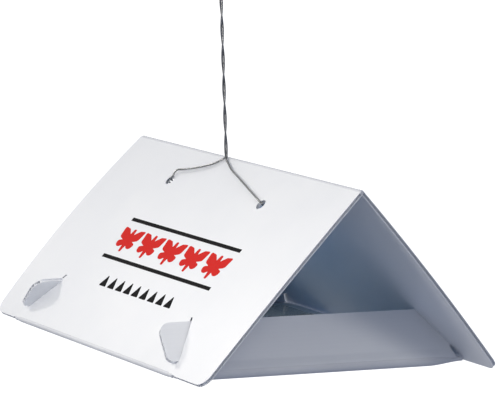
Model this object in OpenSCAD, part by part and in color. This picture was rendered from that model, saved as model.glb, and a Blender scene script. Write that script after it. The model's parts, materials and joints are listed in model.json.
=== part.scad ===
// Folding insect trap: a tent of twin-wall plastic sheet hung from a twisted wire.
// X runs across the tent (printed side at -X), Y along the ridge (front at -Y), Z up.
// The origin is the point inside the hanging loop that bears on a hook or twig.

/* [Roof] */
// Length of the trap along the ridge
roof_length = 288; // [240:1:320]
// Distance down a roof panel from the ridge fold to the floor fold
roof_slope = 154; // [140:1:180]
// Angle between the two roof panels
apex_angle = 85; // [78:1:92]
// Thickness of the twin-wall sheet
sheet = 2.4; // [2:0.1:3]
// Radius of the sheet's lower corners
corner_radius = 8.5; // [3:0.5:10]

/* [End flaps] */
// Distance from the end of the roof to the flap's fold, were the floor in the middle
flap_inset = 32.3; // [30:0.1:42]
// How far the floor and the flaps sit off the middle, towards the rear
pattern_shift = 4.2; // [0:0.1:5]
// How far the flap leans inward from upright
flap_lean = 41.5; // [32:0.1:44]
// Height of the flap along its own face
flap_height = 37.5; // [34:0.5:42]
// Height up the flap of the ear's lower edge
ear_low = 10; // [8:0.1:14]
// Distance from the middle of the flap to the ear's outer edge
ear_half_span = 107; // [104:0.5:112]

/* [Wire hanger] */
// Diameter of the wire
wire_d = 1.2; // [1:0.1:1.6]
// Number of half twists in the shank, an even number
half_twists = 6; // [4:2:8]
// Length of one half twist
half_twist_length = 19; // [16:1:24]
// Radius of the hanging loop, to the middle of the wire
loop_radius = 9.6; // [8:0.1:14]
// Lean of the shank towards the printed side
shank_lean = 4.5; // [0:0.5:10]
// Where along the ridge the shank rises
shank_y = 22; // [0:1:40]
// Places of the front and rear hanger holes along the ridge
hole_y = [-57.2, 63.6]; // [-70:0.1:70]
// Distance of the hanger holes down the roof from the ridge
hole_drop = 26.5; // [22:0.5:32]
// Diameter of the hanger holes
hole_d = 8; // [7:0.5:9]

/* [Insert and lure] */
// Length and width of the sticky insert
liner_size = [205, 195]; // [150:1:210]
// Length and width of its band of glue
glue_size = [190, 180]; // [120:1:200]
// Thickness of the insert's card
card = 0.6; // [0.4:0.1:1]
// Thickness of the glue
glue = 0.3; // [0.2:0.1:0.6]
// Height of the rubber lure
lure_height = 19; // [14:1:22]
// Diameter of the lure's cuff
lure_cuff_d = 11.2; // [10:0.1:14]
// Place of the lure along the trap
lure_y = -42; // [-60:1:60]

/* [Hidden] */

$fn = 64;
FRONT = 0;
REAR = 180;
PRINTED = -1;
PLAIN = 1;

WHITE = [0.93, 0.93, 0.96];
CREASE_WHITE = [0.86, 0.87, 0.91];
STEEL = [0.62, 0.64, 0.66];
CARD = [0.95, 0.94, 0.90];
GLUE = [0.90, 0.86, 0.66];
RUBBER = [0.55, 0.56, 0.57];

// Folds: every panel stops short of its fold line, where a round living hinge joins it.
half_sheet = sheet / 2;
fold_play = 0.45;
function setback(angle) = half_sheet / tan(angle / 2) + fold_play;
half_apex = apex_angle / 2;
ridge_setback = setback(apex_angle);
floor_setback = setback(90 - half_apex);
flap_setback = setback(90 - flap_lean);
web_thickness = 1;
overlap = 0.3;

// The tent's section, from the floor's middle plane up to the ridge fold.
ridge_height = roof_slope * cos(half_apex);
half_width = roof_slope * sin(half_apex);
edge_overhang = 0.5;
ridge_corner_radius = 2;
wall_offset = half_sheet / cos(half_apex);
function inner_x(z) = (ridge_height - z) * tan(half_apex) - wall_offset;
function outer_x(z) = (ridge_height - z) * tan(half_apex) + wall_offset;

flap_line = roof_length / 2 - flap_inset;
edge_gap = 0.5;
floor_edge = inner_x(half_sheet) - edge_gap;
floor_length = 2 * (flap_line - flap_setback);

// A flap's middle part clears the roof even when it stands upright.
// Its two side strips carry the ears and bend as they pass.
upright_gap = 1;
side_gap = 1.1;
slit_gap = 0.4;
slit_end_gap = 1.2;
function flap_z(s) = s * cos(flap_lean);
function flap_half_width(s) = inner_x(s) - upright_gap;
function strip_edge(s) = inner_x(flap_z(s)) - side_gap;
function roof_edge(s) = outer_x(flap_z(s));
ear_top_radius = 9;
ear_low_radius = 4;

// Polygon whose corners [x, y, r] are rounded to radius r.
arc_steps = 6;
function unit(v) = v / norm(v);
function rounded_corner(before, corner, after) =
    let (
        p = [corner.x, corner.y],
        a = unit([before.x, before.y] - p),
        b = unit([after.x, after.y] - p),
        half = acos(a * b) / 2,
        centre = p + unit(a + b) * corner.z / sin(half),
        first = p + a * corner.z / tan(half) - centre,
        last = p + b * corner.z / tan(half) - centre
    )
    [for (i = [0:arc_steps]) centre + corner.z * unit(first + (last - first) * i / arc_steps)];
function rounded(corners) = [
    for (i = [0:len(corners) - 1])
        let (n = len(corners), c = corners[i])
            each c.z == 0
                ? [[c.x, c.y]]
                : rounded_corner(corners[(i + n - 1) % n], c, corners[(i + 1) % n])
];

// Hanger: the shank leaves the ridge at shank_base and ends in the loop.
wire_r = wire_d / 2;
ridge_clearance = 1.3;
shank_offset = 2.5;
shank_base = [-shank_offset, shank_y, ridge_height + ridge_clearance];
shank_dir = [-sin(shank_lean), 0, cos(shank_lean)];
across = [0, 1, 0];
sideways = cross(shank_dir, across);
shank_length = half_twists * half_twist_length;
strand_offset = wire_r + 0.03;
neck_length = 4;
neck_angle = 14;
loop_centre = shank_length + neck_length + loop_radius * cos(neck_angle);
bearing_point = shank_base + (loop_centre + loop_radius - wire_r) * shank_dir;

// A point on the printed side: down the slope, out from its middle plane, along the ridge.
function roof_point(down, out, along) = [
    -down * sin(half_apex) - out * cos(half_apex),
    along,
    ridge_height - down * cos(half_apex) + out * sin(half_apex)
];
pintle_depth = half_sheet + wire_r + 0.4;
pintle_shift = 1.8;
pintle_length = 12;
pintle_r = wire_r + 0.05;

// Routes of the two legs from the shank to their holes: [down, out, along].
front_leg = [[2.4, 2.8, 19.6], [5.5, 2.9, 12], [9.5, 3.1, 2], [13.5, 3.3, -12], [18.5, 3.4, -29],
    [23.4, 3, -46], [25.6, 2.4, -53.6]];
rear_leg = [[3, 2.8, 23.6], [7.3, 3, 27.5], [11, 3.2, 34], [15.4, 3.4, 45], [18, 3.5, 54],
    [19.4, 3.4, 60.4], [21.2, 3.2, 62.2], [24.4, 2.7, 61.6]];
function hole_bend(hole, end) = [
    [hole_drop, 1.5, hole],
    [hole_drop, 0, hole],
    [hole_drop, -1.2, hole + end * 0.2],
    [hole_drop, -1.9, hole + end * 0.8],
    [hole_drop, -pintle_depth, hole + end * pintle_shift],
    [hole_drop, -pintle_depth, hole + end * (pintle_shift + 0.8)]
];
function on_roof(route) = [for (p = route) roof_point(p.x, p.y, p.z)];

// Smooth curve through a route's points.
curve_steps = 3;
function curve_point(a, b, c, d, t) =
    b + (c - a) * t / 2 + (2 * a - 5 * b + 4 * c - d) * t * t / 2
        + (3 * b - a - 3 * c + d) * t * t * t / 2;
function smooth(p) = [
    for (i = [0:len(p) - 2], k = [0:curve_steps - 1])
        curve_point(p[max(i - 1, 0)], p[i], p[i + 1], p[min(i + 2, len(p) - 1)],
            k / curve_steps),
    p[len(p) - 1]
];

// One strand of the twisted shank, from the ridge up, starting on the side given by its phase.
ring_step = 3;
shank_rings = ceil(shank_length / ring_step);
function strand(phase) = [
    for (i = [0:shank_rings])
        let (h = shank_length * i / shank_rings, turn = phase + 180 * h / half_twist_length)
            shank_base + h * shank_dir
                + strand_offset * (cos(turn) * across + sin(turn) * sideways)
];
loop_step = 12;
function loop_points() = [
    for (a = [neck_angle:loop_step:360 - neck_angle])
        shank_base + loop_centre * shank_dir
            + loop_radius * (sin(a) * across - cos(a) * shank_dir)
];
function reversed(p) = [for (i = [len(p) - 1:-1:0]) p[i]];

// Tube swept along a list of points with a frame carried from ring to ring.
tube_sides = 8;
function directions(p) = [
    for (i = [0:len(p) - 1]) unit(p[min(i + 1, len(p) - 1)] - p[max(i - 1, 0)])
];
function carried(v, t) = unit(v - (v * t) * t);
module tube(path, r) {
    n = len(path);
    t = directions(path);
    side = [for (i = 0, v = carried([0, 0, 1], t[0]); i < n;
        i = i + 1, v = carried(v, t[min(i, n - 1)])) v];
    ring_points = [
        for (i = [0:n - 1], k = [0:tube_sides - 1])
            let (a = 360 * k / tube_sides)
                path[i] + r * (cos(a) * side[i] + sin(a) * cross(t[i], side[i]))
    ];
    walls = [
        for (i = [0:n - 2], k = [0:tube_sides - 1])
            let (a = i * tube_sides + k, b = i * tube_sides + (k + 1) % tube_sides)
                each [[a, a + tube_sides, b], [b, a + tube_sides, b + tube_sides]]
    ];
    start_cap = [for (k = [0:tube_sides - 1]) k];
    end_cap = [for (k = [tube_sides - 1:-1:0]) (n - 1) * tube_sides + k];
    polyhedron(concat(ring_points, [path[0], path[n - 1]]), concat(
        walls,
        [for (k = [0:tube_sides - 1]) [k, (k + 1) % tube_sides, n * tube_sides]],
        [for (k = [0:tube_sides - 1])
            [(n - 1) * tube_sides + (k + 1) % tube_sides, (n - 1) * tube_sides + k,
                n * tube_sides + 1]]
    ), convexity = 8);
}

// Frames of reference.
module from_loop() {
    translate(-bearing_point) children();
}
module on_printed_side() {
    translate([0, 0, ridge_height]) rotate([0, 90 + half_apex, 0]) children();
}
module on_plain_side() {
    translate([0, 0, ridge_height]) rotate([0, 90 - half_apex, 0]) children();
}
module on_pattern() {
    translate([0, pattern_shift, 0]) children();
}
module on_flap(end) {
    on_pattern() rotate([0, 0, end]) translate([0, -flap_line, 0])
        rotate([90 - flap_lean, 0, 0]) children();
}

// Shared shapes.
module plate_outline() {
    half = roof_length / 2;
    low = roof_slope + edge_overhang;
    polygon(rounded([
        [ridge_setback, -half, ridge_corner_radius],
        [low, -half, corner_radius],
        [low, half, corner_radius],
        [ridge_setback, half, ridge_corner_radius]
    ]));
}
module ear_slits(side) {
    for (end = [FRONT, REAR]) {
        outward = end == FRONT ? side : -side;
        on_flap(end) linear_extrude(sheet + 2 * slit_gap, center = true) polygon([
            [outward * (strip_edge(flap_height) - 6), ear_low - slit_end_gap],
            [outward * (roof_edge(0) + 6), ear_low - slit_end_gap],
            [outward * (roof_edge(0) + 6), flap_height + slit_end_gap],
            [outward * (strip_edge(flap_height) - 6), flap_height + slit_end_gap]
        ]);
    }
}
module flap_plate(end) {
    low = flap_setback;
    on_flap(end) linear_extrude(sheet, center = true) polygon([
        [-flap_half_width(low), low],
        [flap_half_width(low), low],
        [flap_half_width(flap_height), flap_height],
        [-flap_half_width(flap_height), flap_height]
    ]);
}
module ear(end, side) {
    outward = end == FRONT ? side : -side;
    low = flap_setback;
    outline = rounded([
        [flap_half_width(low), low, 0],
        [strip_edge(low), low, 0],
        [strip_edge(ear_low), ear_low, 0],
        [ear_half_span, ear_low, ear_low_radius],
        [ear_half_span, flap_height, ear_top_radius],
        [flap_half_width(flap_height), flap_height, 0]
    ]);
    on_flap(end) linear_extrude(sheet, center = true)
        polygon([for (p = outline) [outward * p.x, p.y]]);
}
// A living hinge: a round bead on the fold line with a web to the panel it grows from.
module crease(length, reach) {
    rotate([90, 0, 0]) cylinder(h = length, r = half_sheet, center = true);
    translate([reach / 2, 0, 0]) cube([reach, length, web_thickness], center = true);
}
module flap_crease(end) {
    on_pattern() rotate([0, 0, end]) translate([0, -flap_line, 0]) rotate([0, 0, 90])
        crease(2 * floor_edge, flap_setback);
}

module printed_roof_panel() {
    color(WHITE) from_loop() difference() {
        on_printed_side() linear_extrude(sheet, center = true) difference() {
            plate_outline();
            translate([roof_slope - floor_setback, pattern_shift - flap_line - sheet])
                square([2 * floor_setback + sheet, 2 * (flap_line + sheet)]);
        }
        on_printed_side() for (y = hole_y)
            translate([hole_drop, y, 0]) cylinder(h = 3 * sheet, d = hole_d, center = true);
        ear_slits(PRINTED);
    }
}

module plain_roof_panel() {
    color(WHITE) from_loop() difference() {
        on_plain_side() linear_extrude(sheet, center = true) plate_outline();
        ear_slits(PLAIN);
    }
}

module ridge_crease() {
    color(CREASE_WHITE) from_loop() on_printed_side()
        crease(roof_length - 2 * ridge_corner_radius, ridge_setback);
}

module floor_panel() {
    color(WHITE) from_loop() on_pattern()
        translate([-half_width + floor_setback, -floor_length / 2, -half_sheet])
            cube([half_width - floor_setback + floor_edge, floor_length, sheet]);
}

module floor_crease() {
    color(CREASE_WHITE) from_loop() on_pattern() translate([-half_width, 0, 0])
        crease(floor_length, floor_setback);
}

module front_end_flap() {
    color(WHITE) from_loop() flap_plate(FRONT);
}

module rear_end_flap() {
    color(WHITE) from_loop() flap_plate(REAR);
}

module front_flap_crease() {
    color(CREASE_WHITE) from_loop() flap_crease(FRONT);
}

module rear_flap_crease() {
    color(CREASE_WHITE) from_loop() flap_crease(REAR);
}

module front_printed_side_ear() {
    color(WHITE) from_loop() ear(FRONT, PRINTED);
}

module front_plain_side_ear() {
    color(WHITE) from_loop() ear(FRONT, PLAIN);
}

module rear_printed_side_ear() {
    color(WHITE) from_loop() ear(REAR, PRINTED);
}

module rear_plain_side_ear() {
    color(WHITE) from_loop() ear(REAR, PLAIN);
}

module hanger_wire() {
    ends = [-1, 1];
    front_end = on_roof(concat(front_leg, hole_bend(hole_y[0], ends[0])));
    rear_end = on_roof(concat(rear_leg, hole_bend(hole_y[1], ends[1])));
    front_strand = strand(180);
    rear_strand = strand(0);
    path = concat(
        reversed(smooth(concat([front_strand[0]], front_end))),
        [for (i = [1:len(front_strand) - 1]) front_strand[i]],
        reversed(loop_points()),
        [for (i = [len(rear_strand) - 1:-1:1]) rear_strand[i]],
        smooth(concat([rear_strand[0]], rear_end))
    );
    color(STEEL) from_loop() {
        tube(path, wire_r);
        for (i = [0, 1])
            translate(roof_point(hole_drop, -pintle_depth,
                hole_y[i] + ends[i] * (pintle_shift + pintle_length / 2)))
                rotate([90, 0, 0]) cylinder(h = pintle_length, r = pintle_r, center = true);
    }
}

module sticky_liner() {
    color(CARD) from_loop() on_pattern() translate([0, 0, half_sheet + card / 2])
        cube([liner_size.y, liner_size.x, card], center = true);
}

module adhesive_coat() {
    color(GLUE) from_loop() on_pattern() translate([0, 0, half_sheet + card + glue / 2])
        cube([glue_size.y, glue_size.x, glue], center = true);
}

module lure_septum() {
    cuff_r = lure_cuff_d / 2;
    stem_r = 0.75 * cuff_r;
    bore_r = 0.58 * cuff_r;
    cuff_base = 0.5 * lure_height;
    bore_base = 0.6 * lure_height;
    edge = 0.6;
    color(RUBBER) from_loop() translate([0, lure_y, half_sheet + card + glue]) rotate_extrude()
        polygon([
            [0, 0],
            [stem_r - edge, 0],
            [stem_r, edge],
            [stem_r, cuff_base],
            [cuff_r, cuff_base + edge],
            [cuff_r, lure_height - edge],
            [cuff_r - edge, lure_height],
            [bore_r, lure_height],
            [bore_r, bore_base],
            [0, bore_base]
        ]);
}

printed_roof_panel();
plain_roof_panel();
ridge_crease();
floor_panel();
floor_crease();
front_end_flap();
rear_end_flap();
front_flap_crease();
rear_flap_crease();
front_printed_side_ear();
front_plain_side_ear();
rear_printed_side_ear();
rear_plain_side_ear();
hanger_wire();
sticky_liner();
adhesive_coat();
lure_septum();
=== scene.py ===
"""Looks of the folding insect trap: twin-wall sheet with real flutes, print, wire hanger, insert and lure.

Lengths are in metres, in the frame of the CAD part: X across the tent, Y along the ridge, Z up.
"""

import json
import math

import bmesh
import bpy
from mathutils import Matrix, Vector


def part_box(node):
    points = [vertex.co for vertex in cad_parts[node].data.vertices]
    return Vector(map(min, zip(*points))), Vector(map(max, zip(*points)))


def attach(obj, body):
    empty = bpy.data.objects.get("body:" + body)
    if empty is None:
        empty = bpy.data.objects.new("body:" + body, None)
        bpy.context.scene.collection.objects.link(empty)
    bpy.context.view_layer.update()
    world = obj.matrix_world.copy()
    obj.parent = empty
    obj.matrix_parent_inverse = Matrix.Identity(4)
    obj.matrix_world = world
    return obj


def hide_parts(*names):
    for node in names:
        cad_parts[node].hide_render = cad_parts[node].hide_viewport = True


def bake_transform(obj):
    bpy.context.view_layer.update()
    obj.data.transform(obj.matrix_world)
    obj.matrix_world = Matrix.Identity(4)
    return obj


MM = 0.001

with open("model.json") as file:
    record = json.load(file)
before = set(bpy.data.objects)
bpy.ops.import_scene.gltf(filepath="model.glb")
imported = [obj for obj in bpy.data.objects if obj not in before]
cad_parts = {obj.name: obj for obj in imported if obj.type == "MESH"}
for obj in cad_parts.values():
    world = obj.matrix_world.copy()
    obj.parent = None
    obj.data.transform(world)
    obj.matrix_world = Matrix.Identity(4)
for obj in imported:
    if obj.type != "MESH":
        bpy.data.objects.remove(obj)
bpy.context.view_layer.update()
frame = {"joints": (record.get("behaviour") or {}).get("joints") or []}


# ---------------------------------------------------------------- sizes taken from the frame

joints = {joint["name"]: joint for joint in frame["joints"]}
RIDGE = Vector(joints["ridge_fold"]["pos_m"])
FLOOR_FOLD = Vector(joints["floor_fold"]["pos_m"])
FLAP_FOLD = {
    "front": Vector(joints["front_flap_fold"]["pos_m"]),
    "rear": Vector(joints["rear_flap_fold"]["pos_m"]),
}
SWING = Vector(joints["hanger_swing"]["pos_m"])

MIDDLE = RIDGE.y
HALF_LENGTH = (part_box("plain_roof_panel")[1].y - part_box("plain_roof_panel")[0].y) / 2
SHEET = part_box("floor_panel")[1].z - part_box("floor_panel")[0].z
HALF_SHEET = SHEET / 2
RIDGE_HEIGHT = RIDGE.z - FLOOR_FOLD.z
HALF_WIDTH = RIDGE.x - FLOOR_FOLD.x
SLOPE = math.hypot(RIDGE_HEIGHT, HALF_WIDTH)
HALF_APEX = math.atan2(HALF_WIDTH, RIDGE_HEIGHT)
FLOOR_ANGLE = math.pi / 2 - HALF_APEX
FLAP_LINE = {end: fold.y - MIDDLE for end, fold in FLAP_FOLD.items()}
FLAP_LEAN = math.radians(41.5)
FLAP_HEIGHT = 37.5 * MM
FLAP_HALF = (math.pi / 2 - FLAP_LEAN) / 2
FACING = {"front": -1, "rear": 1}
CORNER_RADIUS = 8.5 * MM
EDGE_OVERHANG = 0.5 * MM

# Twin-wall sheet: two skins joined by ribs.
FLUTE = 3.241 * MM
SKIN = 0.38 * MM
RIB = 0.34 * MM
ROOF_ROWS = 16
FLOOR_ROWS = 30
FLAP_ROWS = 60
FLAP_RIB_PHASE = 0.2

# Outward bow of each roof panel at its front edge, between its edges and at its rear edge.
BOW = {"printed": (0.7 * MM, 3.0 * MM, 3.6 * MM), "plain": (1.6 * MM, 3.3 * MM, 3.0 * MM)}
BOW_EDGE = 22 * MM


# ---------------------------------------------------------------- camera

VIEW_AZIMUTH = math.radians(-29.5)
VIEW_ELEVATION = math.radians(7.45)
VIEW_ROLL = math.radians(2.18)
VIEW_DISTANCE = 2.2442
VIEW_SIDE = 4.65 * MM
VIEW_RISE = 34.6 * MM
VIEW_TARGET = Vector((RIDGE.x, MIDDLE, FLOOR_FOLD.z + 55 * MM))
SENSOR = 36.0
LENS = 252.0
CLIP_END = 50.0


def view_back():
    """From the trap towards the main camera."""
    return Vector((
        math.sin(VIEW_AZIMUTH) * math.cos(VIEW_ELEVATION),
        -math.cos(VIEW_AZIMUTH) * math.cos(VIEW_ELEVATION),
        math.sin(VIEW_ELEVATION),
    ))


def add_camera():
    back = view_back()
    level = Vector((math.cos(VIEW_AZIMUTH), math.sin(VIEW_AZIMUTH), 0))
    above = back.cross(level)
    right = level * math.cos(VIEW_ROLL) + above * math.sin(VIEW_ROLL)
    up = back.cross(right)
    data = bpy.data.cameras.new("camera")
    data.lens = LENS
    data.sensor_width = SENSOR
    data.clip_end = CLIP_END
    camera = bpy.data.objects.new("camera", data)
    turn = Matrix((right, up, back)).transposed().to_4x4()
    place = VIEW_TARGET + back * VIEW_DISTANCE + right * VIEW_SIDE + up * VIEW_RISE
    camera.matrix_world = Matrix.Translation(place) @ turn
    bpy.context.scene.collection.objects.link(camera)
    bpy.context.scene.camera = camera


add_camera()


# ---------------------------------------------------------------- materials

# Counting grid on the insert's card.
GRID_PITCH = 25.4 * MM
GRID_LINE = 0.5 * MM


def new_material(name):
    material = bpy.data.materials.new(name)
    material.use_nodes = True
    tree = material.node_tree
    return material, tree, tree.nodes["Principled BSDF"]


def add_node(tree, kind, inputs=None, **settings):
    node = tree.nodes.new(kind)
    for key, value in settings.items():
        setattr(node, key, value)
    for key, value in (inputs or {}).items():
        if isinstance(value, bpy.types.NodeSocket):
            tree.links.new(value, node.inputs[key])
        else:
            node.inputs[key].default_value = value
    return node


def math_node(tree, operation, *values):
    return add_node(tree, "ShaderNodeMath", dict(enumerate(values)), operation=operation).outputs[0]


def noise_node(tree, vector, scale, detail=3.0, rough=0.55):
    inputs = {"Vector": vector, "Scale": scale, "Detail": detail, "Roughness": rough}
    return add_node(tree, "ShaderNodeTexNoise", inputs).outputs[0]


def ramp_node(tree, factor, stops):
    node = add_node(tree, "ShaderNodeValToRGB", {"Fac": factor})
    elements = node.color_ramp.elements
    while len(elements) < len(stops):
        elements.new(0.5)
    for element, (place, colour) in zip(elements, stops):
        element.position = place
        element.color = (*colour, 1) if len(colour) == 3 else colour
    return node.outputs[0]


def bump_node(tree, shader, height, strength, distance):
    inputs = {"Height": height, "Strength": strength, "Distance": distance}
    bump = add_node(tree, "ShaderNodeBump", inputs)
    tree.links.new(bump.outputs[0], shader.inputs["Normal"])


def sheet_material(name, light, dark):
    """Satin fluted plastic: faint lines where the ribs show through, scuffs and slow colour drift."""
    material, tree, shader = new_material(name)
    uv = add_node(tree, "ShaderNodeTexCoord").outputs["UV"]
    across = add_node(tree, "ShaderNodeSeparateXYZ", {"Vector": uv}).outputs[0]
    turns = math_node(tree, "MULTIPLY", across, 2 * math.pi / FLUTE)
    rib = math_node(tree, "COSINE", turns)
    ridge = math_node(tree, "POWER", math_node(tree, "MAXIMUM", rib, 0.0), 6.0)
    drift = noise_node(tree, uv, 14.0, 4.0)
    scuff = noise_node(tree, uv, 420.0, 5.0, 0.7)
    tone = math_node(tree, "MULTIPLY_ADD", ridge, -0.10, drift)
    colour = ramp_node(tree, tone, [(0.25, dark), (0.75, light)])
    tree.links.new(colour, shader.inputs["Base Color"])
    grain = math_node(tree, "MULTIPLY_ADD", scuff, 0.16, 0.34)
    tree.links.new(grain, shader.inputs["Roughness"])
    height = math_node(tree, "MULTIPLY_ADD", scuff, 0.10, math_node(tree, "MULTIPLY", rib, 0.3))
    bump_node(tree, shader, height, 0.3, 0.00006)
    shader.inputs["Subsurface Weight"].default_value = 0.08
    shader.inputs["Subsurface Radius"].default_value = (0.002, 0.002, 0.0025)
    shader.inputs["Subsurface Scale"].default_value = 1.0
    shader.inputs["IOR"].default_value = 1.49
    return material


def ink_material(name, colour, worn):
    material, tree, shader = new_material(name)
    uv = add_node(tree, "ShaderNodeTexCoord").outputs["UV"]
    speckle = noise_node(tree, uv, 900.0, 4.0, 0.6)
    mixed = ramp_node(tree, speckle, [(0.30, worn), (0.55, colour)])
    tree.links.new(mixed, shader.inputs["Base Color"])
    shine = math_node(tree, "MULTIPLY_ADD", speckle, 0.2, 0.6)
    tree.links.new(shine, shader.inputs["Roughness"])
    shader.inputs["Specular IOR Level"].default_value = 0.08
    bump_node(tree, shader, speckle, 0.2, 0.00002)
    return material


def wire_material():
    """Galvanised steel: dull metal with a fine zinc bloom and larger blotches."""
    material, tree, shader = new_material("galvanised_wire")
    place = add_node(tree, "ShaderNodeTexCoord").outputs["Object"]
    bloom = noise_node(tree, place, 900.0, 5.0, 0.65)
    blotch = noise_node(tree, place, 120.0, 3.0)
    tone = math_node(tree, "MULTIPLY_ADD", bloom, 0.5, math_node(tree, "MULTIPLY", blotch, 0.5))
    colour = ramp_node(tree, tone, [(0.3, (0.12, 0.123, 0.126)), (0.7, (0.46, 0.465, 0.47))])
    tree.links.new(colour, shader.inputs["Base Color"])
    shader.inputs["Metallic"].default_value = 0.92
    tree.links.new(math_node(tree, "MULTIPLY_ADD", bloom, 0.22, 0.14), shader.inputs["Roughness"])
    bump_node(tree, shader, bloom, 0.35, 0.00004)
    return material


def card_material():
    """Coated card with a printed counting grid."""
    material, tree, shader = new_material("insert_card")
    uv = add_node(tree, "ShaderNodeTexCoord").outputs["UV"]
    parts = add_node(tree, "ShaderNodeSeparateXYZ", {"Vector": uv})
    lines = []
    for k in (0, 1):
        cell = math_node(tree, "FRACT", math_node(tree, "DIVIDE", parts.outputs[k], GRID_PITCH))
        lines.append(math_node(tree, "LESS_THAN", cell, GRID_LINE / GRID_PITCH))
    grid = math_node(tree, "MAXIMUM", *lines)
    fibre = noise_node(tree, uv, 700.0, 5.0, 0.65)
    stock = ramp_node(tree, fibre, [(0.3, (0.78, 0.76, 0.69)), (0.7, (0.88, 0.87, 0.82))])
    mix = add_node(tree, "ShaderNodeMix", data_type="RGBA")
    tree.links.new(math_node(tree, "MULTIPLY", grid, 0.8), mix.inputs[0])
    tree.links.new(stock, mix.inputs[6])
    mix.inputs[7].default_value = (0.18, 0.26, 0.34, 1)
    tree.links.new(mix.outputs[2], shader.inputs["Base Color"])
    tree.links.new(math_node(tree, "MULTIPLY_ADD", fibre, 0.2, 0.45), shader.inputs["Roughness"])
    bump_node(tree, shader, fibre, 0.25, 0.00004)
    return material


def glue_material():
    """Wet, slightly amber glue that lets the card's grid show."""
    material, tree, shader = new_material("sticky_glue")
    place = add_node(tree, "ShaderNodeTexCoord").outputs["Object"]
    ripple = noise_node(tree, place, 160.0, 4.0, 0.55)
    colour = ramp_node(tree, ripple, [(0.3, (0.86, 0.82, 0.66)), (0.7, (0.93, 0.91, 0.80))])
    tree.links.new(colour, shader.inputs["Base Color"])
    shader.inputs["Roughness"].default_value = 0.12
    shader.inputs["IOR"].default_value = 1.5
    shader.inputs["Coat Weight"].default_value = 0.6
    shader.inputs["Coat Roughness"].default_value = 0.05
    shader.inputs["Alpha"].default_value = 0.35
    bump_node(tree, shader, ripple, 0.5, 0.0003)
    return material


def rubber_material():
    material, tree, shader = new_material("lure_rubber")
    place = add_node(tree, "ShaderNodeTexCoord").outputs["Object"]
    dust = noise_node(tree, place, 1200.0, 5.0, 0.7)
    bloom = noise_node(tree, place, 180.0, 3.0)
    colour = ramp_node(tree, bloom, [(0.3, (0.20, 0.205, 0.21)), (0.75, (0.34, 0.345, 0.35))])
    tree.links.new(colour, shader.inputs["Base Color"])
    tree.links.new(math_node(tree, "MULTIPLY_ADD", dust, 0.2, 0.6), shader.inputs["Roughness"])
    bump_node(tree, shader, dust, 0.3, 0.00006)
    return material


SHEET_WHITE = sheet_material("fluted_sheet", (0.85, 0.87, 0.91), (0.80, 0.825, 0.875))
# Darker copy of the sheet for the ridge bead, floor fold bead and flap rolls: painted shade that greys the
# fold lines.
FOLD_PAINTED_SHADE = sheet_material("fold_painted_shade", (0.76, 0.78, 0.82), (0.64, 0.66, 0.71))
RED_INK = ink_material("red_ink", (0.66, 0.020, 0.016), (0.58, 0.03, 0.026))
BLACK_INK = ink_material("black_ink", (0.006, 0.006, 0.007), (0.012, 0.012, 0.013))
WIRE = wire_material()
CARD = card_material()
GLUE = glue_material()
RUBBER = rubber_material()


# ---------------------------------------------------------------- mesh helpers

def add_object(name, mesh, material, body, slot, *replaced):
    mesh.materials.clear()
    mesh.materials.append(material)
    piece = bpy.data.objects.new(name, mesh)
    bpy.context.scene.collection.objects.link(piece)
    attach(piece, body)
    if replaced:
        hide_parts(*replaced)
    return piece


def finish_mesh(bm, name, smooth_angle=32):
    """Turns a bmesh into a mesh with outward faces, smooth but for its real edges."""
    bmesh.ops.recalc_face_normals(bm, faces=bm.faces)
    mesh = bpy.data.meshes.new(name)
    bm.to_mesh(mesh)
    bm.free()
    mesh.polygons.foreach_set("use_smooth", [True] * len(mesh.polygons))
    mesh.set_sharp_from_angle(angle=math.radians(smooth_angle))
    return mesh


class Plane:
    """A panel's own place: u across the flutes, v along them, m out of its middle plane."""

    def __init__(self, origin, u, v, out, lift=None):
        self.origin, self.u, self.v, self.out = origin, u, v, out
        self.lift = lift or (lambda a, b: 0.0)

    def at(self, u, v, m):
        return self.origin + self.u * u + self.v * v + self.out * (m + self.lift(u, v))


def roof_lift(side):
    """The roof panels bow outward between their folds, by a different depth near their front and rear ends."""
    front, inner, rear = BOW[side]

    def lift(u, v):
        t = min(max(v / SLOPE, 0.0), 1.0)
        bow = inner + (front - inner) * math.exp(-(HALF_LENGTH + u) / BOW_EDGE)
        bow += (rear - inner) * math.exp(-(HALF_LENGTH - u) / BOW_EDGE)
        return bow * 4 * t * (1 - t)
    return lift


def roof_plane(side):
    across = -1 if side == "printed" else 1
    down = Vector((across * math.sin(HALF_APEX), 0, -math.cos(HALF_APEX)))
    out = Vector((across * math.cos(HALF_APEX), 0, math.sin(HALF_APEX)))
    return Plane(RIDGE, Vector((0, 1, 0)), down, out, roof_lift(side))


# Each end flap's fold is a fat roll, tighter at its two ends. The sheets run into it from both sides.
ROLL_RADIUS = 3.3 * MM
ROLL_TAPER = {"printed": 14 * MM, "plain": 25 * MM}
ROLL_RUN = {"flap": 9 * MM, "floor": 12 * MM}
ROLL_GAP = 0.6 * MM
ROLL_STEPS = [k * 1.3 * MM for k in range(1, 8)]
ROLL_ENDS = (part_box("front_flap_crease")[0].x - RIDGE.x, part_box("front_flap_crease")[1].x - RIDGE.x)


def ease(t):
    t = min(max(t, 0.0), 1.0)
    return t * t * (3 - 2 * t)


def roll_radius(x):
    """Radius of a flap's fold at a distance x across the tent from the ridge."""
    rise = ease((x - ROLL_ENDS[0]) / ROLL_TAPER["printed"]) * ease((ROLL_ENDS[1] - x) / ROLL_TAPER["plain"])
    return HALF_SHEET + (ROLL_RADIUS - HALF_SHEET) * rise


def flap_lift(u, v):
    return (roll_radius(v) - HALF_SHEET) * (1 - ease(u / ROLL_RUN["flap"]))


def floor_lift(u, v):
    x = v + FLOOR_FOLD.x - RIDGE.x
    near = min(u - FLAP_LINE["front"], FLAP_LINE["rear"] - u)
    return (roll_radius(x) - HALF_SHEET) * (1 - ease(near / ROLL_RUN["floor"]))


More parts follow.
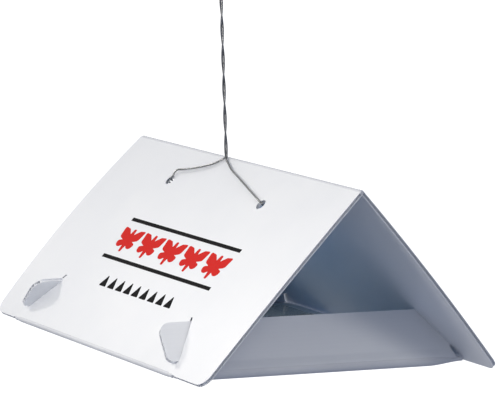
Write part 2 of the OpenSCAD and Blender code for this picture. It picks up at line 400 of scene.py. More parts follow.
def flap_plane(end):
    facing = FACING[end]
    up = Vector((0, -facing * math.sin(FLAP_LEAN), math.cos(FLAP_LEAN)))
    out = Vector((0, facing * math.cos(FLAP_LEAN), math.sin(FLAP_LEAN)))
    fold = FLAP_FOLD[end]
    return Plane(Vector((RIDGE.x, fold.y, fold.z)), up, Vector((1, 0, 0)), out, flap_lift)


def floor_plane():
    origin = Vector((FLOOR_FOLD.x, MIDDLE, FLOOR_FOLD.z))
    return Plane(origin, Vector((0, 1, 0)), Vector((1, 0, 0)), Vector((0, 0, -1)), floor_lift)


PRINTED = roof_plane("printed")
PLAIN = roof_plane("plain")
FLOOR = floor_plane()


def stepped(low, high, count):
    return [low + (high - low) * i / count for i in range(count + 1)]


def fluted_slab(u_low, u_high, v_low, v_high, rows, rib_phase=0.5):
    """Closed twin-wall slab in (u, v, m): skins, ribs and open channels, its u edges cut between ribs."""
    ribs = []
    k = math.ceil((u_low + RIB) / FLUTE - rib_phase)
    while (k + rib_phase) * FLUTE + RIB < u_high:
        ribs.append((k + rib_phase) * FLUTE)
        k += 1
    columns = [u_low]
    for rib in ribs:
        columns += [rib - RIB / 2, rib + RIB / 2]
    columns.append(u_high)
    levels = [-HALF_SHEET, -HALF_SHEET + SKIN, HALF_SHEET - SKIN, HALF_SHEET]
    v_rows = stepped(v_low, v_high, rows)
    bm = bmesh.new()
    grid = [[[bm.verts.new((u, v, m)) for m in levels] for v in v_rows] for u in columns]
    last_row, last_column = len(v_rows) - 1, len(columns) - 1
    for i in range(last_column):
        solid = i % 2 == 1
        for j in range(last_row):
            for m in (0, 3) if solid else (0, 1, 2, 3):
                bm.faces.new((grid[i][j][m], grid[i + 1][j][m], grid[i + 1][j + 1][m], grid[i][j + 1][m]))
        for j in (0, last_row):
            for m in (0, 1, 2) if solid else (0, 2):
                bm.faces.new((grid[i][j][m], grid[i + 1][j][m], grid[i + 1][j][m + 1], grid[i][j][m + 1]))
    for i in range(last_column + 1):
        edge = i in (0, last_column)
        for j in range(last_row):
            for m in (0, 2) if edge else (1,):
                bm.faces.new((grid[i][j][m], grid[i][j + 1][m], grid[i][j + 1][m + 1], grid[i][j][m + 1]))
    bmesh.ops.recalc_face_normals(bm, faces=bm.faces)
    return bm


def prism(outline, axis, low, high):
    """Closed prism in (u, v, m). The outline's two coordinates are those other than axis, in order."""
    bm = bmesh.new()
    rings = []
    for level in (low, high):
        ring = []
        for a, b in outline:
            point = {"u": (level, a, b), "v": (a, level, b), "m": (a, b, level)}[axis]
            ring.append(bm.verts.new(point))
        rings.append(ring)
    bm.faces.new(rings[0])
    bm.faces.new(rings[1])
    count = len(outline)
    for i in range(count):
        k = (i + 1) % count
        bm.faces.new((rings[0][i], rings[0][k], rings[1][k], rings[1][i]))
    bmesh.ops.recalc_face_normals(bm, faces=bm.faces)
    return bm


def temporary(bm, name):
    mesh = bpy.data.meshes.new(name)
    bm.to_mesh(mesh)
    bm.free()
    made = bpy.data.objects.new(name, mesh)
    bpy.context.scene.collection.objects.link(made)
    return made


def drop(made):
    mesh = made.data
    bpy.data.objects.remove(made)
    bpy.data.meshes.remove(mesh)


def carve(bm, cutters, operation="DIFFERENCE"):
    """bm less (or within) each cutter, as a new bmesh."""
    body = temporary(bm, "carved")
    tools = []
    for k, cutter in enumerate(cutters):
        tool = temporary(cutter, f"cutter_{k}")
        modifier = body.modifiers.new(f"cut_{k}", "BOOLEAN")
        modifier.object = tool
        modifier.operation = operation
        modifier.solver = "EXACT"
        tools.append(tool)
    bpy.context.view_layer.update()
    shaped = body.evaluated_get(bpy.context.evaluated_depsgraph_get()).to_mesh()
    result = bmesh.new()
    result.from_mesh(shaped)
    for made in [body, *tools]:
        drop(made)
    return result


def settle(bm, plane, name, smooth_angle=32):
    """Moves a carved slab from (u, v, m) to its place, with u and v kept as its UVs."""
    wide = [face for face in bm.faces if len(face.verts) > 4]
    bmesh.ops.triangulate(bm, faces=wide)
    layer = bm.loops.layers.uv.new("flat")
    for face in bm.faces:
        for loop in face.loops:
            loop[layer].uv = loop.vert.co.xy
    for vert in bm.verts:
        vert.co = plane.at(*vert.co)
    return finish_mesh(bm, name, smooth_angle)


ARC_STEPS = 8


def rounded(corners):
    """Outline from corners (a, b, radius), each rounded by an arc."""
    points = []
    count = len(corners)
    for i, (a, b, radius) in enumerate(corners):
        here = Vector((a, b))
        if radius == 0:
            points.append(here)
            continue
        before = (Vector(corners[i - 1][:2]) - here).normalized()
        after = (Vector(corners[(i + 1) % count][:2]) - here).normalized()
        half = math.acos(max(-1.0, min(1.0, before.dot(after)))) / 2
        centre = here + (before + after).normalized() * radius / math.sin(half)
        first = here + before * radius / math.tan(half) - centre
        last = here + after * radius / math.tan(half) - centre
        for k in range(ARC_STEPS + 1):
            points.append(centre + (first.lerp(last, k / ARC_STEPS)).normalized() * radius)
    return [(p.x, p.y) for p in points]


def circle(centre, radius, steps=32):
    turns = [2 * math.pi * k / steps for k in range(steps)]
    return [(centre[0] + radius * math.cos(t), centre[1] + radius * math.sin(t)) for t in turns]


# ---------------------------------------------------------------- roof panels

FAR = 12 * MM
WALL_OFFSET = HALF_SHEET / math.cos(HALF_APEX)
SIDE_GAP = 0.5 * MM
NECK_START = {"front": 10 * MM, "rear": 12.6 * MM}
SLIT_GAP = 0.15 * MM
SLIT_LOW_GAP = 0.5 * MM
SLIT_TOP_GAP = 0.8 * MM
SLIT_REACH = 4 * SHEET


def flap_z(height):
    """Height above the floor of a place that far up a leaning flap."""
    return height * math.cos(FLAP_LEAN)


def roof_bow_x(side, z):
    """How far the bow carries a roof panel sideways at a height above the floor fold."""
    v = (RIDGE_HEIGHT - z) / math.cos(HALF_APEX)
    return roof_lift(side)(FLAP_LINE["front"], v) / math.cos(HALF_APEX)


def inner_x(side, z):
    return (RIDGE_HEIGHT - z) * math.tan(HALF_APEX) - WALL_OFFSET + roof_bow_x(side, z)


def mitre(half_angle, edge, inward):
    """Cutter section in (v, m) that ends a panel at its fold, with the inner corner mitred."""
    reach = FAR
    run = reach / math.tan(half_angle)
    return [(edge, 0), (edge, reach), (edge + inward * reach, reach),
            (edge + inward * reach, -reach), (edge - inward * run, -reach)]


def slit_cutters(side):
    """The slanting slits that the end flaps' ears pass through, as slabs along each flap's plane."""
    cutters = []
    for end in ("front", "rear"):
        plane = flap_plane(end)
        half = HALF_SHEET + SLIT_GAP
        low, high = NECK_START[end] - SLIT_LOW_GAP, FLAP_HEIGHT + SLIT_TOP_GAP
        z_low, z_high = flap_z(low), flap_z(high)
        bm = bmesh.new()
        corners = []
        for z, height in ((z_low, low), (z_high, high)):
            v = (RIDGE_HEIGHT - z) / math.cos(HALF_APEX)
            for m in (-half, half):
                point = plane.origin + plane.u * height + plane.out * m
                corners.append((point.y - MIDDLE, v))
        for level in (-SLIT_REACH, SLIT_REACH):
            for u, v in (corners[0], corners[1], corners[3], corners[2]):
                bm.verts.new((u, v, level))
        bm.verts.ensure_lookup_table()
        ring = [0, 1, 2, 3]
        bm.faces.new([bm.verts[k] for k in ring])
        bm.faces.new([bm.verts[k + 4] for k in ring])
        for k in ring:
            n = (k + 1) % 4
            bm.faces.new([bm.verts[k], bm.verts[n], bm.verts[n + 4], bm.verts[k + 4]])
        bmesh.ops.recalc_face_normals(bm, faces=bm.faces)
        cutters.append(bm)
    return cutters


def roof_outline():
    low = SLOPE + EDGE_OVERHANG
    return rounded([
        (-HALF_LENGTH, -FAR, 0),
        (-HALF_LENGTH, low, CORNER_RADIUS),
        (HALF_LENGTH, low, CORNER_RADIUS),
        (HALF_LENGTH, -FAR, 0),
    ])


HOLE_RADIUS = 3.7 * MM
HOLE_SAG = 0.9 * MM
HOLE_DROP = (SWING - RIDGE).dot(PRINTED.v)
PINTLE_REACH = 13.8 * MM
HOLE_Y = {
    "front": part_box("hanger_wire")[0].y + PINTLE_REACH - MIDDLE,
    "rear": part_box("hanger_wire")[1].y - PINTLE_REACH - MIDDLE,
}


def roof_panel(side):
    plane = PRINTED if side == "printed" else PLAIN
    slab = fluted_slab(-HALF_LENGTH, HALF_LENGTH, 0, SLOPE + EDGE_OVERHANG, ROOF_ROWS)
    cutters = slit_cutters(side)
    cutters.append(prism(mitre(HALF_APEX, 0, -1), "u", -2 * HALF_LENGTH, 2 * HALF_LENGTH))
    if side == "printed":
        cutters.append(prism(mitre(FLOOR_ANGLE / 2, SLOPE, 1), "u", FLAP_LINE["front"], FLAP_LINE["rear"]))
        for y in HOLE_Y.values():
            cutters.append(prism(circle((y, HOLE_DROP + HOLE_SAG), HOLE_RADIUS), "m", -FAR, FAR))
    slab = carve(slab, [prism(roof_outline(), "m", -FAR, FAR)], "INTERSECT")
    mesh = settle(carve(slab, cutters), plane, f"{side}_roof_sheet")
    return add_object(f"{side}_roof_sheet", mesh, SHEET_WHITE, f"{side}_side", "sheet",
                      f"{side}_roof_panel")


roof_panel("printed")
roof_panel("plain")


# ---------------------------------------------------------------- floor and folds

def floor_sheet():
    box_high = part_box("floor_panel")[1]
    right = box_high.x - FLOOR_FOLD.x
    slab = fluted_slab(FLAP_LINE["front"], FLAP_LINE["rear"], 0, right, FLOOR_ROWS)
    cutters = [prism(mitre(FLOOR_ANGLE / 2, 0, -1), "u", -HALF_LENGTH, HALF_LENGTH)]
    for end, facing in FACING.items():
        line = FLAP_LINE[end] - facing * ROLL_GAP
        cutters.append(prism(mitre(FLAP_HALF, line, facing), "v", -FAR, right + FAR))
    slab = carve(slab, cutters)
    slice_at(slab, [FLAP_LINE["front"] + run for run in ROLL_STEPS]
             + [FLAP_LINE["rear"] - run for run in ROLL_STEPS])
    mesh = settle(slab, FLOOR, "floor_sheet")
    return add_object("floor_sheet", mesh, SHEET_WHITE, "floor", "sheet", "floor_panel")


def slice_at(bm, places, across=(1, 0, 0)):
    """Cuts extra edges into a slab, so that it can bend smoothly there."""
    for place in places:
        geometry = bm.verts[:] + bm.edges[:] + bm.faces[:]
        bmesh.ops.bisect_plane(bm, geom=geometry, plane_co=Vector(across) * place, plane_no=across)


BEAD_SIDES = 24
BEAD_STEPS = 4
RIDGE_BEAD = 1.5 * MM
RIDGE_DENT = 1.0 * MM
RIDGE_SHORT = 0.6 * MM
FLOOR_BEAD = 1.65 * MM
FLOOR_DENT = 0.5 * MM
FOLD_TEAR = 2.5 * MM
TEAR_RUN = 9 * MM
TEAR_DEPTH = 0.8 * MM


def fold_bead(name, start, end, outward, body, replaced, bead_radius, dent, tears):
    """Living hinge: a crushed bead on the fold line, pressed in between the ribs on its outer side."""
    axis = (end - start).normalized()
    side = axis.cross(outward).normalized()
    length = (end - start).length
    rings = max(2, round(length / FLUTE * BEAD_STEPS))
    bm = bmesh.new()
    layer = bm.loops.layers.uv.new("flat")
    grid = []
    for i in range(rings + 1):
        along = length * i / rings
        pressed = (0.5 - 0.5 * math.cos(2 * math.pi * along / FLUTE)) ** 2
        torn = 1 - ease(min(along, length - along) / TEAR_RUN)
        ragged = TEAR_DEPTH * torn * (0.55 + 0.45 * math.sin(along / MM * 2.9) * math.sin(along / MM * 1.3))
        ring = []
        for k in range(BEAD_SIDES):
            turn = 2 * math.pi * k / BEAD_SIDES
            facing = max(0.0, math.cos(turn)) ** 3
            radius = bead_radius - dent * pressed * facing - (ragged if tears else 0.0)
            offset = outward * math.cos(turn) + side * math.sin(turn)
            ring.append(bm.verts.new(start + axis * along + offset * radius))
        grid.append(ring)
    for i in range(rings):
        for k in range(BEAD_SIDES):
            n = (k + 1) % BEAD_SIDES
            face = bm.faces.new((grid[i][k], grid[i][n], grid[i + 1][n], grid[i + 1][k]))
            for loop, (row, turn) in zip(face.loops, ((i, k), (i, k + 1), (i + 1, k + 1), (i + 1, k))):
                u = length * row / rings
                loop[layer].uv = (u, bead_radius * 2 * math.pi * turn / BEAD_SIDES)
    bm.faces.new(grid[0])
    bm.faces.new(grid[-1])
    mesh = finish_mesh(bm, name)
    # The bead's darker tone is painted shade.
    return add_object(name, mesh, FOLD_PAINTED_SHADE, body, "fold", replaced)


def fold_beads():
    shift = Vector((0, HALF_LENGTH - RIDGE_SHORT, 0))
    fold_bead("ridge_fold_bead", RIDGE - shift, RIDGE + shift, Vector((0, 0, 1)),
              "printed_side", "ridge_crease", RIDGE_BEAD, RIDGE_DENT, False)
    centre = Vector((FLOOR_FOLD.x, MIDDLE, FLOOR_FOLD.z))
    bisector = Vector((-math.cos(FLOOR_ANGLE / 2), 0, -math.sin(FLOOR_ANGLE / 2)))
    fold_bead("floor_fold_bead", centre + Vector((0, FLAP_LINE["front"] + FOLD_TEAR, 0)),
              centre + Vector((0, FLAP_LINE["rear"] - FOLD_TEAR, 0)), bisector,
              "floor", "floor_crease", FLOOR_BEAD, FLOOR_DENT, True)
    for end in ("front", "rear"):
        flap_roll(end)


ROLL_ARC_STEPS = 14
ROLL_THIN = 1.3 * MM
ROLL_CORE = 0.05 * MM
ROLL_ROWS = 90


def flap_roll(end):
    """Living hinge of an end flap: the sheet rolled round the fold line, crushed thin in its middle."""
    facing = FACING[end]
    fold = FLAP_FOLD[end]
    flap_out = math.pi - (math.pi / 2 - FLAP_LEAN)
    bm = bmesh.new()
    layer = bm.loops.layers.uv.new("flat")
    rings = []
    for x in stepped(*ROLL_ENDS, ROLL_ROWS):
        outer, inner = [], []
        for k in range(-1, ROLL_ARC_STEPS + 2):
            t = min(max(k / ROLL_ARC_STEPS, 0.0), 1.0)
            tail = ROLL_GAP * (math.copysign(1, k - 1) if k in (-1, ROLL_ARC_STEPS + 1) else 0)
            turn = flap_out * t
            direction = Vector((0, facing * math.sin(turn), -math.cos(turn)))
            onward = Vector((0, facing * math.cos(turn), math.sin(turn)))
            thick = ROLL_THIN + (SHEET - ROLL_THIN) * (2 * t - 1) ** 4
            radius = roll_radius(x)
            place = Vector((RIDGE.x + x, fold.y, fold.z)) + onward * tail
            outer.append((place + direction * radius, x, radius * turn + tail))
            inner.append((place + direction * max(radius - thick, ROLL_CORE), x, radius * turn + tail))
        ring = outer + inner[::-1]
        rings.append([(bm.verts.new(point), (a, b)) for point, a, b in ring])
    count = len(rings[0])
    for i in range(len(rings) - 1):
        for k in range(count):
            n = (k + 1) % count
            corners = (rings[i][k], rings[i][n], rings[i + 1][n], rings[i + 1][k])
            face = bm.faces.new([vert for vert, _ in corners])
            for loop, (_, flat) in zip(face.loops, corners):
                loop[layer].uv = (flat[1], flat[0])
    for ring in (rings[0], rings[-1]):
        bm.faces.new([vert for vert, _ in ring])
    name = f"{end}_flap_fold_roll"
    # The roll's darker tone is painted shade.
    made = add_object(name, finish_mesh(bm, name), FOLD_PAINTED_SHADE, "floor", "fold", f"{end}_flap_crease")
    made.parent = None
    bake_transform(made)


floor_sheet()
fold_beads()


# ---------------------------------------------------------------- end flaps with their ears

EAR_LOW_SPAN = {"front": 106.2 * MM, "rear": 104.4 * MM}
EAR_TOP_SPAN = {"front": 104.6 * MM, "rear": 102.6 * MM}
EAR_TOP_RADIUS = 9 * MM
EAR_LOW_RADIUS = 4 * MM
NOTCH_DEEP = {"front": 4.4 * MM, "rear": 1 * MM}
NOTCH_SHALLOW = {"front": 0.9 * MM, "rear": 0.3 * MM}


def flap_side(end, side, sign):
    """Corners (u, v, radius) up one side of a flap: the slanting relief below the ear, then the ear."""
    def strip(height):
        return inner_x(side, flap_z(height)) - SIDE_GAP - HALF_SHEET * math.sin(FLAP_LEAN)

    neck = NECK_START[end]
    reach = [
        (0.0, strip(0.0) - NOTCH_DEEP[end], 0),
        (neck, strip(neck) - NOTCH_SHALLOW[end], 0),
        (neck, EAR_LOW_SPAN[end], EAR_LOW_RADIUS),
        (FLAP_HEIGHT, EAR_TOP_SPAN[end], EAR_TOP_RADIUS),
    ]
    return [(u, sign * v, radius) for u, v, radius in reach]


def end_flap(end):
    left = flap_side(end, "printed", -1)
    right = flap_side(end, "plain", 1)
    outline = rounded(left + right[::-1])
    widest = max(abs(v) for _, v in outline) + FAR
    slab = fluted_slab(0, FLAP_HEIGHT, -widest, widest, FLAP_ROWS, FLAP_RIB_PHASE)
    slab = carve(slab, [prism(outline, "m", -FAR, FAR)], "INTERSECT")
    slab = carve(slab, [prism(mitre(FLAP_HALF, ROLL_GAP, -1), "v", -2 * widest, 2 * widest)])
    slice_at(slab, ROLL_STEPS)
    mesh = settle(slab, flap_plane(end), f"{end}_flap_sheet")
    return add_object(f"{end}_flap_sheet", mesh, SHEET_WHITE, f"{end}_flap", "sheet",
                      f"{end}_end_flap", f"{end}_printed_side_ear", f"{end}_plain_side_ear")


end_flap("front")
end_flap("rear")


# ---------------------------------------------------------------- print on the roof

INK_SUNK = 0.03 * MM
INK_PROUD = 0.05 * MM
INK_SPLIT = 6.4 * MM
INK_SPLITS = 16
RULE_LENGTH = 145 * MM
RULE_THICK = 2.7 * MM
RULE_DROPS = (62.9 * MM, 93.6 * MM)
RULE_MIDDLE = -5.6 * MM
MOTH_SIZE = 21.5 * MM
MOTH_WIDEN = 1.28
MOTH_DROP = 78.1 * MM
MOTH_COUNT = 5
MOTH_PITCH = 29 * MM
DELTA_SIZE = 9 * MM
DELTA_ROUND = 0.6 * MM
DELTA_DROP = 110 * MM
DELTA_COUNT = 9
DELTA_PITCH = 11 * MM
DELTA_MIDDLE = -3.5 * MM


def ink(name, outlines, material):
    """Flat ink shapes on the printed panel, split at the panel's own rows so that they follow its bow."""
    bm = bmesh.new()
    for outline in outlines:
        bm.faces.new([bm.verts.new((u, v, HALF_SHEET + INK_PROUD)) for u, v in outline])
    slice_at(bm, stepped(0, SLOPE + EDGE_OVERHANG, ROOF_ROWS), (0, 1, 0))
    slice_at(bm, [k * INK_SPLIT for k in range(-INK_SPLITS, INK_SPLITS + 1)])
    bmesh.ops.triangulate(bm, faces=bm.faces[:])
    lifted = bmesh.ops.extrude_face_region(bm, geom=bm.faces[:])
    moved = [part for part in lifted["geom"] if isinstance(part, bmesh.types.BMVert)]
    bmesh.ops.translate(bm, verts=moved, vec=(0, 0, -INK_PROUD - INK_SUNK))
    mesh = settle(bm, PRINTED, name)
    return add_object(name, mesh, material, "printed_side", "sheet")


def rectangle(u, v, width, height):
    return [(u - width / 2, v - height / 2), (u + width / 2, v - height / 2),
            (u + width / 2, v + height / 2), (u - width / 2, v + height / 2)]


MOTH_HALF = [
    (0.05, -0.40, 0.04), (0.08, -0.20, 0), (0.26, -0.38, 0.10), (0.50, -0.42, 0.05), (0.44, -0.04, 0.12),
    (0.24, 0.04, 0), (0.40, 0.10, 0.07), (0.34, 0.42, 0.14), (0.08, 0.22, 0), (0.045, 0.46, 0.03),
]


def moth(u, v, size):
    """A plain moth seen from above, its head to the ridge, as one outline."""
    left = [(-a, b, radius) for a, b, radius in MOTH_HALF[::-1]]
    return [(u + a * size * MOTH_WIDEN, v + b * size) for a, b in rounded(MOTH_HALF + left)]


def delta(u, v, size):
    half = size / 2
    corners = [(-half, half, DELTA_ROUND), (0, -half, DELTA_ROUND), (half, half, DELTA_ROUND)]
    return [(u + a, v + b) for a, b in rounded(corners)]


def row(middle, count, pitch):
    return [middle + (k - (count - 1) / 2) * pitch for k in range(count)]


ink("print_rules", [rectangle(RULE_MIDDLE, v, RULE_LENGTH, RULE_THICK) for v in RULE_DROPS], BLACK_INK)
ink("print_moths", [moth(u, MOTH_DROP, MOTH_SIZE)
                    for u in row(RULE_MIDDLE, MOTH_COUNT, MOTH_PITCH)], RED_INK)
ink("print_deltas", [delta(u, DELTA_DROP, DELTA_SIZE)
                     for u in row(DELTA_MIDDLE, DELTA_COUNT, DELTA_PITCH)], BLACK_INK)


# ---------------------------------------------------------------- wire hanger

WIRE_RADIUS = 0.6 * MM
HALF_TWIST = 19 * MM
HALF_TWISTS = 6
LOOP_RADIUS = 9.6 * MM
NECK_LENGTH = 4 * MM
NECK_ANGLE = math.radians(14)
SHANK_LEAN = math.radians(4.5)
WIRE_SIDES = 12
STRAND_STEPS = 120
STRAND_GAP = 0.03 * MM
LOOP_STEPS = 60
SHANK_DIRECTION = Vector((-math.sin(SHANK_LEAN), 0, math.cos(SHANK_LEAN)))
SHANK_LENGTH = HALF_TWIST * HALF_TWISTS
LOOP_CENTRE = -SHANK_DIRECTION * (LOOP_RADIUS - WIRE_RADIUS)
SHANK_BASE = LOOP_CENTRE - SHANK_DIRECTION * (
    SHANK_LENGTH + NECK_LENGTH + LOOP_RADIUS * math.cos(NECK_ANGLE))
PINTLE_OUT = (SWING - RIDGE).dot(PRINTED.out)

# Routes of the legs in mm: how far down the roof, out of its middle plane and along the ridge. Worked out from
# points picked with an assumed distance from the roof, then adjusted.
FRONT_LEG = [(2.4, 2.8, 19.6), (5.5, 2.9, 12), (9.5, 3.1, 2), (13.5, 3.3, -12), (18.5, 3.4, -29),
             (23.4, 3, -46), (25.6, 2.4, -53.6)]
REAR_LEG = [(3, 2.8, 23.6), (7.3, 3, 27.5), (11, 3.2, 34), (15.4, 3.4, 45), (18, 3.5, 54),
            (19.4, 3.4, 60.4), (21.2, 3.2, 62.2), (24.4, 2.7, 61.6)]


def strand(phase):
    across = Vector((0, 1, 0))
    sideways = SHANK_DIRECTION.cross(across)
    points = []
    for i in range(STRAND_STEPS + 1):
        height = SHANK_LENGTH * i / STRAND_STEPS
        turn = phase + math.pi * height / HALF_TWIST
        spread = (across * math.cos(turn) + sideways * math.sin(turn)) * (WIRE_RADIUS + STRAND_GAP)
        points.append(SHANK_BASE + SHANK_DIRECTION * height + spread)
    return points


def hook_loop():
    points = []
    for i in range(LOOP_STEPS + 1):
        turn = NECK_ANGLE + (2 * math.pi - 2 * NECK_ANGLE) * i / LOOP_STEPS
        offset = Vector((0, 1, 0)) * math.sin(turn) - SHANK_DIRECTION * math.cos(turn)
        points.append(LOOP_CENTRE + offset * LOOP_RADIUS)
    return points


def leg(route, end):
    """A leg from the ridge to its hole, through it, and out along the pintle."""
    sign = FACING[end]
    hole = HOLE_Y[end]
    points = [PRINTED.at(along * MM, down * MM, out * MM) for down, out, along in route]
    bend = [(1.5 * MM, 0), (0, 0), (-1.2 * MM, 0.2 * MM), (-1.9 * MM, 0.8 * MM)]
    for out, shift in bend:
        points.append(PRINTED.at(hole + sign * shift, HOLE_DROP, out))
    flat = Plane(PRINTED.origin, PRINTED.u, PRINTED.v, PRINTED.out)
    for shift in (1.8 * MM, 3 * MM, 7 * MM, PINTLE_REACH):
        points.append(flat.at(hole + sign * shift, HOLE_DROP, PINTLE_OUT))
    return points


def curve_through(points, steps=7):
    smooth = []
    for i in range(len(points) - 1):
        a, b = points[max(i - 1, 0)], points[i]
        c, d = points[i + 1], points[min(i + 2, len(points) - 1)]
        for k in range(steps):
            t = k / steps
            smooth.append(b + (c - a) * (t / 2) + (2 * a - 5 * b + 4 * c - d) * (t * t / 2)
                          + (3 * b - a - 3 * c + d) * (t ** 3 / 2))
    smooth.append(points[-1])
    return smooth


def tube(name, path, radius, sides):
    """Round tube along a path, its ring frame carried from point to point."""
    bm = bmesh.new()
    layer = bm.loops.layers.uv.new("flat")
    normal = Vector((0.3, 0.2, 1))
    rings = []
    travelled = [0.0]
    for i, point in enumerate(path):
        ahead = path[min(i + 1, len(path) - 1)]
        behind = path[max(i - 1, 0)]
        direction = (ahead - behind).normalized()
        normal = (normal - direction * normal.dot(direction)).normalized()
        other = direction.cross(normal)
        if i:
            travelled.append(travelled[-1] + (point - behind).length)
        turns = [2 * math.pi * k / sides for k in range(sides)]
        rings.append([bm.verts.new(point + (normal * math.cos(t) + other * math.sin(t)) * radius)
                      for t in turns])
    for i in range(len(rings) - 1):
        for k in range(sides):
            n = (k + 1) % sides
            face = bm.faces.new((rings[i][k], rings[i][n], rings[i + 1][n], rings[i + 1][k]))
            places = ((i, k), (i, k + 1), (i + 1, k + 1), (i + 1, k))
            for loop, (ring_index, turn) in zip(face.loops, places):
                loop[layer].uv = (travelled[ring_index], radius * 2 * math.pi * turn / sides)
    bm.faces.new(rings[0])
    bm.faces.new(rings[-1])
    return finish_mesh(bm, name, 60)


def hanger():
    front_strand, rear_strand = strand(math.pi), strand(0)
    path = curve_through([front_strand[0]] + leg(FRONT_LEG, "front"))[::-1]
    path += front_strand[1:]
    path += hook_loop()[::-1]
    path += rear_strand[:0:-1]
    path += curve_through([rear_strand[0]] + leg(REAR_LEG, "rear"))
    mesh = tube("twisted_hanger", path, WIRE_RADIUS, WIRE_SIDES)
    return add_object("twisted_hanger", mesh, WIRE, "hanger", "wire", "hanger_wire")


hanger()


# ---------------------------------------------------------------- insert, glue and lure

def slab_on_floor(name, node, margin, wave, material, slot, rows=40):
    """A thin sheet lying on the floor, with a soft wave and a slightly uneven edge."""
    low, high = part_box(node)
    bm = bmesh.new()
    layer = bm.loops.layers.uv.new("flat")
    xs, ys = stepped(low.x, high.x, rows), stepped(low.y, high.y, rows)
    tops, bottoms = [], []
    for x in xs:
        tops.append([])
        bottoms.append([])
        for y in ys:
            edge = max(abs(x - (low.x + high.x) / 2) / (high.x - low.x),
                       abs(y - (low.y + high.y) / 2) / (high.y - low.y)) * 2
            pull = 1 - margin * (1 + math.sin(x * 310) * math.sin(y * 270)) * (edge > 0.99)
            px = (low.x + high.x) / 2 + (x - (low.x + high.x) / 2) * pull
            py = (low.y + high.y) / 2 + (y - (low.y + high.y) / 2) * pull
            rise = wave * (1 + math.sin(x * 61 + 1) * math.cos(y * 47)) / 2
            tops[-1].append(bm.verts.new((px, py, high.z + rise)))
            bottoms[-1].append(bm.verts.new((px, py, low.z + rise)))
    for grid in (tops, bottoms):
        for i in range(rows):
            for j in range(rows):
                bm.faces.new((grid[i][j], grid[i + 1][j], grid[i + 1][j + 1], grid[i][j + 1]))
    rim = [(i, 0) for i in range(rows)] + [(rows, j) for j in range(rows)]
    rim += [(i, rows) for i in range(rows, 0, -1)] + [(0, j) for j in range(rows, 0, -1)]
    for k, (i, j) in enumerate(rim):
        p, q = rim[(k + 1) % len(rim)]
        bm.faces.new((tops[i][j], tops[p][q], bottoms[p][q], bottoms[i][j]))
    for face in bm.faces:
        for loop in face.loops:
            loop[layer].uv = (loop.vert.co.x - RIDGE.x, loop.vert.co.y - MIDDLE)
    return add_object(name, finish_mesh(bm, name), material, "floor", slot, node)


def lure():
    """Moulded rubber septum: a stem, a rolled cuff and a cup for the load."""
    low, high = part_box("lure_septum")
    centre = (low + high) / 2
    tall, wide = high.z - low.z, (high.x - low.x) / 2
    section = [(0.0, 0.0), (0.68, 0.0), (0.74, 0.02), (0.75, 0.06), (0.75, 0.47), (0.78, 0.50),
               (0.94, 0.505), (0.99, 0.53), (1.0, 0.57), (1.0, 0.94), (0.98, 0.98), (0.92, 1.0),
               (0.66, 1.0), (0.60, 0.985), (0.58, 0.95), (0.58, 0.64), (0.52, 0.61), (0.0, 0.60)]
    sides = 48
    bm = bmesh.new()
    rings = []
    for radius, height in section:
        if radius == 0:
            rings.append([bm.verts.new((centre.x, centre.y, low.z + height * tall))])
            continue
        rings.append([bm.verts.new((centre.x + radius * wide * math.cos(2 * math.pi * k / sides),
                                    centre.y + radius * wide * math.sin(2 * math.pi * k / sides),
                                    low.z + height * tall)) for k in range(sides)])
    for lower, upper in zip(rings, rings[1:]):
        for k in range(sides):
            n = (k + 1) % sides
            ring = [lower[k % len(lower)], lower[n % len(lower)]]
            ring += [upper[n % len(upper)], upper[k % len(upper)]]
            bm.faces.new(list(dict.fromkeys(ring)))
    mesh = finish_mesh(bm, "rubber_lure", 50)
    return add_object("rubber_lure", mesh, RUBBER, "floor", "lure_rubber", "lure_septum")


slab_on_floor("insert_card", "sticky_liner", 0.0, 0.0, CARD, "card")
slab_on_floor("insert_glue", "adhesive_coat", 0.012, 0.15 * MM, GLUE, "glue")
lure()


# ---------------------------------------------------------------- studio

DOME_RADIUS = 6.0
DOME_FACING = Vector((-0.60, 0.45, 0.66)).normalized()
DOME_TONES = [(0.20, (0.09, 0.11, 0.17)), (0.50, (0.17, 0.18, 0.21)), (0.90, (0.48, 0.48, 0.48))]
BACKDROP_TONE = (1.1, 1.1, 1.1)


def dome_material():
    """Pale paper that glows softly all round, and white where it stands behind the trap."""
    material, tree, shader = new_material("studio_paper")
    place = add_node(tree, "ShaderNodeTexCoord").outputs["Object"]
    behind = VIEW_TARGET - view_back() * DOME_RADIUS
    apart = add_node(tree, "ShaderNodeVectorMath", {0: place, 1: tuple(behind)}, operation="DISTANCE")
    grain = noise_node(tree, place, 2.0)
    colour = ramp_node(tree, grain, [(0.0, (0.30, 0.30, 0.30)), (1.0, (0.34, 0.34, 0.34))])
    tree.links.new(colour, shader.inputs["Base Color"])
    shader.inputs["Roughness"].default_value = 0.9
    offset = add_node(tree, "ShaderNodeVectorMath", {0: place, 1: tuple(VIEW_TARGET)}, operation="SUBTRACT")
    inputs = {0: offset.outputs[0], 1: tuple(DOME_FACING / DOME_RADIUS)}
    facing = add_node(tree, "ShaderNodeVectorMath", inputs, operation="DOT_PRODUCT").outputs["Value"]
    around = ramp_node(tree, math_node(tree, "MULTIPLY_ADD", facing, 0.5, 0.5), DOME_TONES)
    reach = math_node(tree, "DIVIDE", apart.outputs["Value"], 3.0)
    mask = ramp_node(tree, reach, [(0.30, (1, 1, 1)), (0.75, (0, 0, 0))])
    mix = add_node(tree, "ShaderNodeMix", data_type="RGBA")
    tree.links.new(mask, mix.inputs[0])
    tree.links.new(around, mix.inputs[6])
    mix.inputs[7].default_value = (*BACKDROP_TONE, 1)
    tree.links.new(mix.outputs[2], shader.inputs["Emission Color"])
    shader.inputs["Emission Strength"].default_value = 1.0
    return material


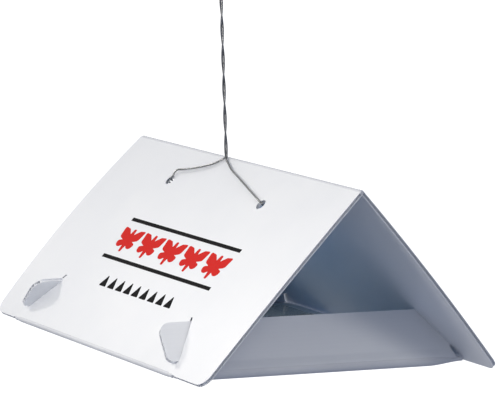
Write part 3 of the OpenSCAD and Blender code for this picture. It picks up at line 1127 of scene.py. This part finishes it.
def studio_dome():
    """A pale round room about the trap."""
    bm = bmesh.new()
    bmesh.ops.create_icosphere(bm, subdivisions=5, radius=DOME_RADIUS)
    bmesh.ops.translate(bm, verts=bm.verts[:], vec=VIEW_TARGET)
    bmesh.ops.reverse_faces(bm, faces=bm.faces[:])
    mesh = bpy.data.meshes.new("studio_dome")
    bm.to_mesh(mesh)
    bm.free()
    mesh.polygons.foreach_set("use_smooth", [True] * len(mesh.polygons))
    mesh.materials.append(dome_material())
    made = bpy.data.objects.new("studio_dome", mesh)
    bpy.context.scene.collection.objects.link(made)


def area_light(name, place, target, size, power, colour):
    data = bpy.data.lights.new(name, "AREA")
    data.shape = "RECTANGLE"
    data.size, data.size_y = size
    data.energy = power
    data.color = colour
    light = bpy.data.objects.new(name, data)
    light.location = place
    light.rotation_euler = (target - place).to_track_quat("-Z", "Y").to_euler()
    light.visible_camera = False
    bpy.context.scene.collection.objects.link(light)


# Lights: place, what they face, size, power in watts and colour.
SIDE_FOCUS = PRINTED.at(-20 * MM, SLOPE / 2, 0)
GLOW_PLACE = PRINTED.at(30 * MM, SLOPE * 0.55, -6 * MM)
SUNNY = (1.0, 0.95, 0.87)
LAMP = (1.0, 0.95, 0.88)
PAPER = (1.0, 0.96, 0.9)
BLUE = (0.22, 0.5, 1.0)
LIGHTS = {
    "side_light": (SIDE_FOCUS + Vector((-0.54, -0.17, 0.25)), SIDE_FOCUS, (0.12, 0.3), 1.55, SUNNY),
    "rear_light": (VIEW_TARGET + Vector((-0.9, 1.5, 1.1)), VIEW_TARGET, (0.25, 0.25), 7, LAMP),
    "front_light": (VIEW_TARGET + Vector((0.18, -1.48, 1.16)), VIEW_TARGET, (0.8, 0.5), 5.7, PAPER),
    "glow_through_sheet": (GLOW_PLACE, GLOW_PLACE - PRINTED.out, (0.17, 0.09), 0.024, BLUE),
}


def studio_lights():
    for name, (place, target, size, power, colour) in LIGHTS.items():
        area_light(name, place, target, size, power, colour)
    world = bpy.data.worlds.new("studio_air")
    world.use_nodes = True
    background = world.node_tree.nodes["Background"]
    background.inputs["Color"].default_value = (0.45, 0.58, 0.80, 1)
    background.inputs["Strength"].default_value = 0.2
    bpy.context.scene.world = world


studio_dome()
studio_lights()
bpy.context.scene.view_settings.view_transform = "Standard"
